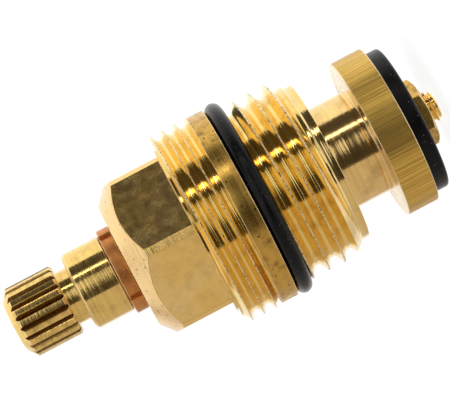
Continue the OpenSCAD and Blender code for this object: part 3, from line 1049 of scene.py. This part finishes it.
@dataclass
class SpindleAssembly(SubAssembly):
    """The brass spindle, the clip that holds it, and its two inner rings."""

    body: Body = Body.SPINDLE
    drive_radius: float = 4.225
    drive_length: float = 6.6
    grooves: int = 20
    groove_width: float = 0.66
    groove_depth: float = 0.5
    crest_direction: float = -91.0
    cone_length: float = 0.9
    face_radius: float = 3.05
    chamfer: float = 0.3
    neck_length: float = 1.5
    neck_radius: float = 3.2
    barrel_length: float = 4.7
    barrel_radius: float = 4.65
    clip_groove_radius: float = 3.6
    ring_groove_radius: float = 3.39
    ring_groove_width: float = 1.6
    collar_radius: float = 5.9
    collar_top: float = 6.55
    collar_low: float = 4.5
    screw_radius: float = 4.0
    hole_radius: float = 1.65
    hole_depth: float = 10.0
    hole_pitch: float = 0.7
    hole_chamfer: float = 0.3
    hole_blind_length: float = 1.0
    hole_wear: float = 0.5
    clip_step: float = 0.42
    clip_back_half: float = 52.0
    clip_back_direction: float = -81.0
    clip_mouth_half: float = 34.0
    clip_pocket: float = 0.45
    clip_pocket_start: float = 56.0
    clip_pocket_end: float = 112.0
    clip_inner_radius: float = 3.65
    clip_columns: int = 147
    clip_blend: float = 0.3

    GROOVE_COLUMNS = (0.0, 0.12, 0.45, 0.75, 0.93, 1.0, 1.07, 1.35)

    def build(self) -> None:
        """Makes the spindle and its clip, and dresses the inner rings."""
        finishes = (
            GroovedBrass("brass_drive_end", self.drive_radius),
            TurnedBrass("brass_spindle_turned", roughness=0.2, brush=0.92, ring_depth=0.075),
            ThreadedBrass("brass_screw_hole", roughness=0.2),
            TurnedBrass("brass_drive_face", roughness=0.22, brush=0.5, ring_depth=0.02, stain=0.5),
        )
        self.show(self.spindle_mesh(), "spindle", Slot.BRASS, *finishes)
        self.show(self.clip_mesh(), "retaining_clip", Slot.BRONZE, BronzeStrip("bronze_clip"))
        rubber = MouldedRubber("rubber_inner_ring").material()
        self.dress("spindle_seal_ring_upper", rubber)
        self.dress("spindle_seal_ring_lower", rubber)

    def _drive_angles(self) -> np.ndarray:
        """Works out the columns, which lie closest at the grooves' edges.

        Returns:
            The angles from -180 to 180, both included.
        """
        step = 360.0 / self.grooves
        centres = [self.crest_direction + (i + 0.5) * step for i in range(self.grooves)]
        edge = math.degrees(math.asin(self.groove_width / 2 / self.drive_radius))
        offsets = [side * edge * share for side in (1, -1) for share in self.GROOVE_COLUMNS]
        angles = angles_with(np.array([-180.0, 180.0]), centres, offsets)
        return angles_with(angles, [c + step / 2 for c in centres], (0.0,))

    def _grooved_radius(self, angles: np.ndarray) -> np.ndarray:
        """Works out the distance of the grooved drive end from the axis.

        Args:
            angles: Angles of the columns.

        Returns:
            The radius for each angle.
        """
        step = 360.0 / self.grooves
        off = np.radians(np.abs((angles - self.crest_direction) % step - step / 2))
        steep = 2 * self.groove_depth / self.groove_width
        flank = (self.drive_radius - self.groove_depth) / np.maximum(np.cos(off) - steep * np.sin(off), 0.5)
        return np.minimum(flank, self.drive_radius)

    def spindle_mesh(self) -> bpy.types.Mesh:
        """Makes the spindle.

        Returns:
            A closed mesh with the drive end, its screw hole, neck, barrel, grooves, collar and lead screw.
        """
        bottom, top = heights_of("spindle")
        front = heights_of("bonnet")[1]
        drive_low = top - self.drive_length
        barrel_top = drive_low - self.neck_length
        barrel_low = barrel_top - self.barrel_length
        angles = self._drive_angles()
        grooved = self._grooved_radius(angles)
        cone_low = top - self.cone_length
        cone_slope = self.cone_length / (self.drive_radius - self.face_radius)
        on_chamfer = np.maximum(grooved, self.drive_radius - self.chamfer)
        turned = SpindleZone.TURNED
        line = Outline(angles)
        line.run(
            turned,
            (0.0, bottom),
            (self.screw_radius - 2 * self.chamfer, bottom),
            (self.screw_radius, bottom + 2 * self.chamfer),
            (self.screw_radius, self.collar_low),
            (self.collar_radius, self.collar_low),
            (self.collar_radius, self.collar_top),
            (self.barrel_radius, self.collar_top),
        )
        for node in ("spindle_seal_ring_lower", "spindle_seal_ring_upper"):
            middle = sum(heights_of(node)) / 2
            low, high = middle - self.ring_groove_width / 2, middle + self.ring_groove_width / 2
            line.run(turned, (self.barrel_radius, low), (self.ring_groove_radius, low))
            line.run(turned, (self.ring_groove_radius, high), (self.barrel_radius, high))
        line.run(
            turned,
            (self.barrel_radius, front),
            (self.clip_groove_radius, front),
            (self.clip_groove_radius, barrel_low),
            (self.barrel_radius, barrel_low, 0.16),
            (self.barrel_radius, barrel_top - self.chamfer, 0.08),
            (self.barrel_radius - self.chamfer, barrel_top, 0.08),
            (self.neck_radius, barrel_top, 0.1),
            (self.neck_radius, drive_low, 0.1),
            (np.minimum(grooved, self.drive_radius - self.chamfer), drive_low, 0.04),
        )
        line.to(grooved, drive_low + on_chamfer - self.drive_radius + self.chamfer, SpindleZone.FACE, 0.04)
        line.to(grooved, cone_low + (self.drive_radius - grooved) * cone_slope, SpindleZone.DRIVE, 0.05)
        line.to(self.face_radius, top, SpindleZone.FACE, 0.08)
        line.to(self.hole_radius + self.hole_chamfer, top, SpindleZone.FACE, 0.05)
        ends = (top - self.hole_chamfer, top - self.hole_depth + self.hole_blind_length)
        hole = Thread(self.hole_radius, self.hole_pitch, top, *ends, inside=True, stride=2)
        line.cut(SpindleZone.HOLE, hole, wear=self.hole_wear)
        line.run(SpindleZone.HOLE, (self.hole_radius, top - self.hole_depth), (0.0, top - self.hole_depth))
        return line.mesh("spindle_turned", closed_line=False)

    def _past(self, away: np.ndarray) -> np.ndarray:
        """Share of a step of the clip at distances past its middle, in degrees."""
        return np.clip((away + self.clip_blend / 2) / self.clip_blend, 0.0, 1.0)

    def clip_mesh(self) -> bpy.types.Mesh:
        """Makes the clip.

        Returns:
            A closed mesh: a stepped back, three prongs with pockets between them, and an open mouth.
        """
        low, high = heights_of("retaining_clip")
        reach = 180.0 - self.clip_mouth_half
        steps = (self.clip_back_half, self.clip_pocket_start, self.clip_pocket_end)
        offsets = [self.clip_blend * share for share in (-1.0, -0.5, 0.5, 1.0)]
        from_back = np.linspace(-reach, reach, self.clip_columns)
        from_back = angles_with(from_back, [side * s for side in (1, -1) for s in steps], offsets)
        away = np.abs(from_back)
        on_back = 1 - self._past(away - self.clip_back_half)
        in_pocket = self._past(away - self.clip_pocket_start) * self._past(self.clip_pocket_end - away)
        outside = radius_of("retaining_clip") - self.clip_step * on_back
        inside = self.clip_inner_radius + self.clip_pocket * in_pocket
        line = Outline(from_back + self.clip_back_direction)
        line.run(0, (inside, low, 0.06), (outside, low, 0.14), (outside, high, 0.14), (inside, high, 0.06))
        return line.mesh("clip_bent")


@dataclass
class PlungerAssembly(SubAssembly):
    """The brass plunger with the rubber washer and the nut that holds it."""

    body: Body = Body.PLUNGER
    guide_width: float = 14.0
    guide_length: float = 8.0
    guide_rounding: float = 0.3
    guide_corner_radius: float = 7.883
    shank_radius: float = 6.2
    disc_radius: float = 9.6
    disc_top: float = -15.2
    disc_low: float = -19.0
    disc_wall: float = 0.8
    bore_radius: float = 4.06
    bore_end: float = -15.8
    stud_radius: float = 1.95
    stud_pitch: float = 0.7
    stud_first_crest: float = 0.9
    stud_plain_length: float = 0.1
    dome_radius: float = 1.25
    dome_growth: float = 0.85
    nut_width: float = 7.0
    nut_turn: float = -3.0
    nut_rounding: float = 0.12
    nut_face_radius: float = 3.4
    nut_columns: int = 120
    loose_radius: float = 2.0
    nut_seat_radius: float = 4.09
    columns: int = 192

    GUIDE_COLUMNS = (-14.0, -13.0, 13.0, 14.0)

    def build(self) -> None:
        """Makes the plunger, its washer and its nut."""
        finishes = (
            MilledBrass("brass_guide_flats"),
            TurnedBrass("brass_shank", SATIN_BRASS, roughness=0.15, rings_per_mm=2.5, ring_depth=0.09),
            DrawnBrass("brass_disc_rim"),
            ThreadedBrass("brass_stud"),
        )
        self.show(self.plunger_mesh(), "plunger", Slot.BRASS, *finishes)
        rubber = MouldedRubber("rubber_washer", roughness=0.3, dust=1.0)
        self.show(self.washer_mesh(), "seat_washer", Slot.RUBBER, rubber)
        nut = {"roughness": 0.24, "brush": 0.2, "ring_depth": 0.006, "stain": 0.8, "stain_size": 1.2}
        brass = TurnedBrass("brass_nut", DULL_BRASS, **nut)
        self.show(self.nut_mesh(), "washer_nut", Slot.BRASS, brass)

    def plunger_mesh(self) -> bpy.types.Mesh:
        """Makes the plunger.

        Returns:
            A closed mesh: guide with flats, shank, disc with its recess, threaded stud and blind bore.
        """
        stud_end, top = heights_of("plunger")
        recess = heights_of("seat_washer")[1]
        guide_low = top - self.guide_length
        angles = angles_with(even_angles(self.columns), hexagon_corners(), self.GUIDE_COLUMNS)
        guide = hexagon_radius(angles, self.guide_width, 0.0, self.guide_rounding)
        guide = np.minimum(guide, self.guide_corner_radius)
        wall = self.disc_radius - self.disc_wall
        line = Outline(angles)
        line.run(
            PlungerZone.SHANK,
            (0.0, self.bore_end),
            (self.bore_radius, self.bore_end),
            (self.bore_radius, top, 0.15),
            (guide, top, 0.15),
        )
        line.to(guide, guide_low, PlungerZone.GUIDE, 0.15)
        line.run(
            PlungerZone.SHANK,
            (self.shank_radius, guide_low, 0.1),
            (self.shank_radius, self.disc_top, 0.15),
            (self.disc_radius, self.disc_top, 0.12),
        )
        line.to(self.disc_radius, self.disc_low, PlungerZone.RIM, 0.12)
        line.run(PlungerZone.SHANK, (wall, self.disc_low, 0.08), (wall, recess), (self.stud_radius, recess))
        ends = (recess - self.stud_plain_length, stud_end)
        stud = Thread(self.stud_radius, self.stud_pitch, stud_end + self.stud_first_crest, *ends)
        line.cut(PlungerZone.STUD, stud, self._stud_dome)
        line.to(0.0, stud_end, PlungerZone.STUD)
        return line.mesh("plunger_turned", closed_line=False)

    def _stud_dome(self, height: np.ndarray) -> np.ndarray:
        """Largest radius of the stud beside its domed end."""
        rise = np.maximum(height - heights_of("plunger")[0], 0)
        return self.dome_radius + np.sqrt(rise) * self.dome_growth

    def washer_mesh(self) -> bpy.types.Mesh:
        """Makes the rubber washer.

        Returns:
            A flat ring with a round outer edge, and a seat pressed in by the nut.
        """
        low, high = heights_of("seat_washer")
        outer = radius_of("seat_washer")
        nut_top = heights_of("washer_nut")[1]
        line = Outline(even_angles(self.columns))
        line.run(0, (self.loose_radius, high), (outer, high, 0.1), (outer, low, 0.4))
        line.run(0, (self.nut_seat_radius, low, 0.15), (self.nut_seat_radius, nut_top))
        line.to(self.loose_radius, nut_top)
        return line.mesh("washer_rubber")

    def nut_mesh(self) -> bpy.types.Mesh:
        """Makes the nut.

        Returns:
            A closed hexagon with turned corners on its outer face.
        """
        low, high = heights_of("washer_nut")
        corners = hexagon_corners(self.nut_turn)
        angles = angles_with(even_angles(self.nut_columns), corners, (0.0, *CORNER_COLUMNS))
        hexagon = hexagon_radius(angles, self.nut_width, self.nut_turn, self.nut_rounding)
        line = Outline(angles)
        line.run(0, (self.loose_radius, high), (hexagon, high, 0.08))
        line.to(hexagon, low + (hexagon - self.nut_face_radius) / 2, 0, 0.06)
        line.run(0, (self.nut_face_radius, low, 0.03), (self.loose_radius, low, 0.2))
        return line.mesh("nut_chamfered")


# Studio

FRONT_EDGE = (
    (-31.0, -38.0, 36.0),
    (-12.0, -36.0, 34.0),
    (-4.0, -24.0, 16.0),
    (5.0, -13.0, 5.0),
    (18.0, -9.0, 3.0),
    (27.0, -16.0, 11.0),
    (34.0, -40.0, 36.0),
    (42.0, -64.0, 62.0),
)


@dataclass(frozen=True)
class Card:
    """A card of the studio, curved round the axis. The metal shows it as a reflection.

    Its edge is a list of directions, each with the angles of its lower and its upper edge.
    """

    name: str
    edge: tuple[tuple[float, float, float], ...]
    colour: Colour
    strength: float


@dataclass
class Studio:
    """Camera, floor, lamp, cards and world. Directions are from the camera, towards +X."""

    distance: float = 270.0
    camera_height: float = 10.4
    aim_height: float = 2.5
    aim_side: float = 1.3
    roll: float = 27.8
    lens: float = 191.2
    sky_colour: Colour = (0.98, 0.98, 1.0)
    sky_strength: float = 0.85
    floor_size: float = 3000.0
    floor_drop: float = 0.05
    floor_colour: Colour = (0.9, 0.9, 0.9)
    floor_glow: float = 1.15
    floor_glow_share: float = 0.78
    lamp_direction: float = 44.5
    lamp_width: float = 50.0
    lamp_length: float = 1000.0
    lamp_energy: float = 0.55
    lamp_colour: Colour = (1.0, 0.96, 0.88)
    card_distance: float = 600.0
    card_step: float = 4.0
    cards: tuple[Card, ...] = (
        Card("card_front", FRONT_EDGE, (1.0, 0.85, 0.7), 0.05),
        Card("card_dark", ((47.0, -70.0, 70.0), (80.0, -70.0, 70.0)), (1.0, 0.9, 0.8), 0.07),
        Card("card_bright_side", ((80.0, -70.0, 70.0), (178.0, -70.0, 70.0)), (1.0, 0.99, 0.97), 1.2),
        Card("card_low_side", ((-150.0, -50.0, 50.0), (-31.0, -50.0, 50.0)), (1.0, 0.91, 0.82), 0.62),
    )

    def build(self) -> None:
        """Makes the whole studio."""
        self.place_camera()
        self.lay_floor()
        self.light_world()
        self.hang_lamp()
        for card in self.cards:
            self.hang_card(card)
        LOG.info("studio: camera, floor, lamp and %d cards", len(self.cards))

    def place_camera(self) -> None:
        """Puts the camera where the photograph was taken from."""
        place = Vector((self.aim_side, -self.distance, self.camera_height))
        aim = Vector((self.aim_side, 0.0, self.aim_height))
        turn = math.radians(self.roll)
        back = (place - aim).normalized()
        up = Vector((math.cos(turn), 0.0, -math.sin(turn)))
        right = up.cross(back).normalized()
        up = back.cross(right)
        data = bpy.data.cameras.new("camera")
        data.lens = self.lens
        data.sensor_width = 36.0
        data.clip_start = 0.01
        data.clip_end = 10.0
        camera = add_object("camera", data)
        turned = Matrix((right, up, back)).transposed().to_4x4()
        camera.matrix_world = Matrix.Translation(place * MM) @ turned
        bpy.context.scene.camera = camera

    def light_world(self) -> None:
        """White behind everything that is seen, and plain soft light."""
        world = bpy.data.worlds.new("studio")
        nodes = Nodes.emptied(world)
        light = nodes.add("Background", {"Color": self.sky_colour, "Strength": self.sky_strength})
        white = nodes.add("Background", {"Color": (1.0, 1.0, 1.0), "Strength": 1.0})
        mix = nodes.add("MixShader", {0: nodes.seen(), 1: light, 2: white})
        nodes.add("OutputWorld", {"Surface": mix})
        bpy.context.scene.world = world
        bpy.context.scene.view_settings.view_transform = "Standard"

    def hang_lamp(self) -> None:
        """A long soft lamp beside the camera, between the two dark cards."""
        turn = math.radians(self.lamp_direction)
        data = bpy.data.lights.new("strip_lamp", "AREA")
        data.shape = "RECTANGLE"
        data.size = self.lamp_width * MM
        data.size_y = self.lamp_length * MM
        data.energy = self.lamp_energy
        data.color = self.lamp_colour
        lamp = add_object("strip_lamp", data)
        lamp.location = Vector((math.sin(turn), -math.cos(turn), 0.0)) * self.card_distance * MM
        lamp.rotation_euler = (math.radians(90.0), 0.0, turn)
        lamp.visible_camera = False

    def lay_floor(self) -> None:
        """A plain pale floor that shows white, keeps the part's shadow, and is clear from below."""
        half = self.floor_size / 2 * MM
        material = bpy.data.materials.new("pale_floor")
        nodes = Nodes.emptied(material)
        matt = nodes.add("BsdfDiffuse", {"Color": self.floor_colour})
        white = nodes.add("Emission", {"Strength": self.floor_glow})
        share = nodes.times(nodes.seen(), self.floor_glow_share)
        lit = nodes.add("MixShader", {0: share, 1: matt, 2: white})
        below = nodes.add("NewGeometry").outputs["Backfacing"]
        one_way = nodes.add("MixShader", {0: below, 1: lit, 2: nodes.add("BsdfTransparent")})
        nodes.add("OutputMaterial", {"Surface": one_way})
        corners = [(-half, -half, 0), (half, -half, 0), (half, half, 0), (-half, half, 0)]
        floor = self._sheet("floor", corners, [(0, 1, 2, 3)], material)
        floor.location.z = CAD_BOX[0].z - self.floor_drop * MM
        floor.visible_glossy = False
        floor.visible_shadow = False

    def hang_card(self, card: Card) -> None:
        """Hangs one card. The camera doesn't see it.

        Args:
            card: The card.
        """
        turns, lows, highs = np.array(card.edge).T
        steps = max(2, round((turns[-1] - turns[0]) / self.card_step) + 1)
        points = []
        for turn in np.union1d(turns, np.linspace(turns[0], turns[-1], steps)):
            across = self.card_distance * math.sin(math.radians(turn))
            along = -self.card_distance * math.cos(math.radians(turn))
            for tilts in (lows, highs):
                rise = self.card_distance * math.tan(math.radians(np.interp(turn, turns, tilts)))
                points.append((across * MM, along * MM, rise * MM))
        faces = [(i, i + 2, i + 3, i + 1) for i in range(0, len(points) - 2, 2)]
        material = bpy.data.materials.new(card.name)
        nodes = Nodes.emptied(material)
        glow = nodes.add("Emission", {"Color": card.colour, "Strength": card.strength})
        nodes.add("OutputMaterial", {"Surface": glow})
        sheet = self._sheet(card.name, points, faces, material)
        sheet.visible_camera = False

    def _sheet(
        self, name: str, points: list[tuple], faces: list[tuple], material: bpy.types.Material
    ) -> bpy.types.Object:
        """Makes a thin sheet for the floor or a card.

        Args:
            name: Its name.
            points: Its corners, in metres.
            faces: Its faces, as numbers of corners.
            material: Its material.

        Returns:
            The object.
        """
        mesh = bpy.data.meshes.new(name)
        mesh.from_pydata(points, [], faces)
        mesh.materials.append(material)
        return add_object(name, mesh)


def main() -> None:
    """Builds the three sub-assemblies and the studio."""
    logging.basicConfig(level=logging.INFO, format="%(name)s: %(message)s")
    for assembly in (BonnetAssembly(), SpindleAssembly(), PlungerAssembly()):
        assembly.build()
    Studio().build()


if __name__ == "__main__":
    main()
